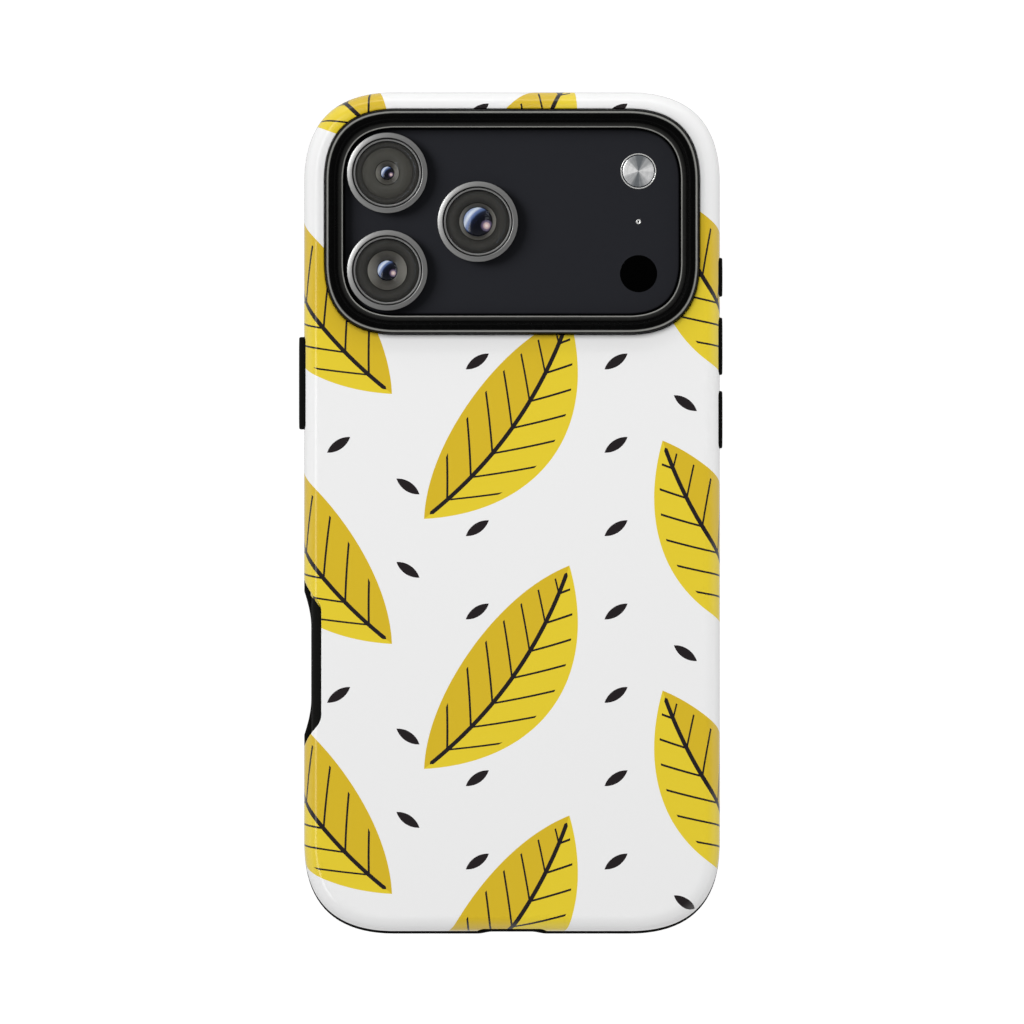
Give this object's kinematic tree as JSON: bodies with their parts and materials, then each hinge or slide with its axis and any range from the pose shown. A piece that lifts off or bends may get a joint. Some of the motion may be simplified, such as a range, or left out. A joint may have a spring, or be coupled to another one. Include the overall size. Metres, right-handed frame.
{
  "type": "phone in a protective case",
  "caption": "Large phone in a two-layer protective case: a glossy printed hard shell over a soft black liner with button covers and a raised rim around the camera plateau.",
  "frame": {"origin": "middle of the footprint, on the surface that the front lip lies on", "axes": "+Z out of the phone's back, +Y toward the camera end, +X to the right as the back is seen"},
  "size_m": [0.0847, 0.1684, 0.0148],
  "materials": {
    "printed_shell": "gloss, printed",
    "liner_rubber": "smooth",
    "anodised_aluminium": "satin anodised",
    "back_panel": "matte glass",
    "screen_glass": "polished",
    "display": "gloss",
    "button_metal": "satin anodised",
    "touch_key_glass": "polished",
    "lens_ring_metal": "turned and anodised",
    "cover_glass": "polished, coated",
    "barrel_plastic": "matte",
    "lens": "polished, coated",
    "flash_silver": "bright, grained",
    "dark_window": "polished",
    "steel": "plain",
    "cell_pouch": "matte",
    "board": "matte",
    "copper": "wound",
    "module_black": "matte"
  },
  "bodies": {
    "root": {"outer_shell": "printed_shell", "inner_liner": "liner_rubber", "phone_enclosure": "anodised_aluminium", "back_glass": "back_panel", "front_glass": "screen_glass", "display_panel": "display", "side_button": "button_metal", "action_button": "button_metal", "volume_up_button": "button_metal", "volume_down_button": "button_metal", "touch_key": "touch_key_glass", "charging_socket": "steel", "end_screw_left": "steel", "end_screw_right": "steel", "battery": "cell_pouch", "main_board": "board", "charging_coil": "copper", "loudspeaker": "module_black", "vibration_motor": "module_black", "earpiece_speaker": "module_black", "front_camera": "barrel_plastic", "ultrawide_lens_ring": "lens_ring_metal", "ultrawide_cover_glass": "cover_glass", "ultrawide_camera_module": "barrel_plastic", "ultrawide_front_element": "lens", "tele_lens_ring": "lens_ring_metal", "tele_cover_glass": "cover_glass", "tele_camera_module": "barrel_plastic", "tele_front_element": "lens", "main_lens_ring": "lens_ring_metal", "main_cover_glass": "cover_glass", "main_camera_module": "barrel_plastic", "main_front_element": "lens", "flash_bezel": "flash_silver", "flash_lens": "flash_silver", "microphone_grommet": "flash_silver", "depth_sensor_window": "dark_window"}
  },
  "joints": []
}
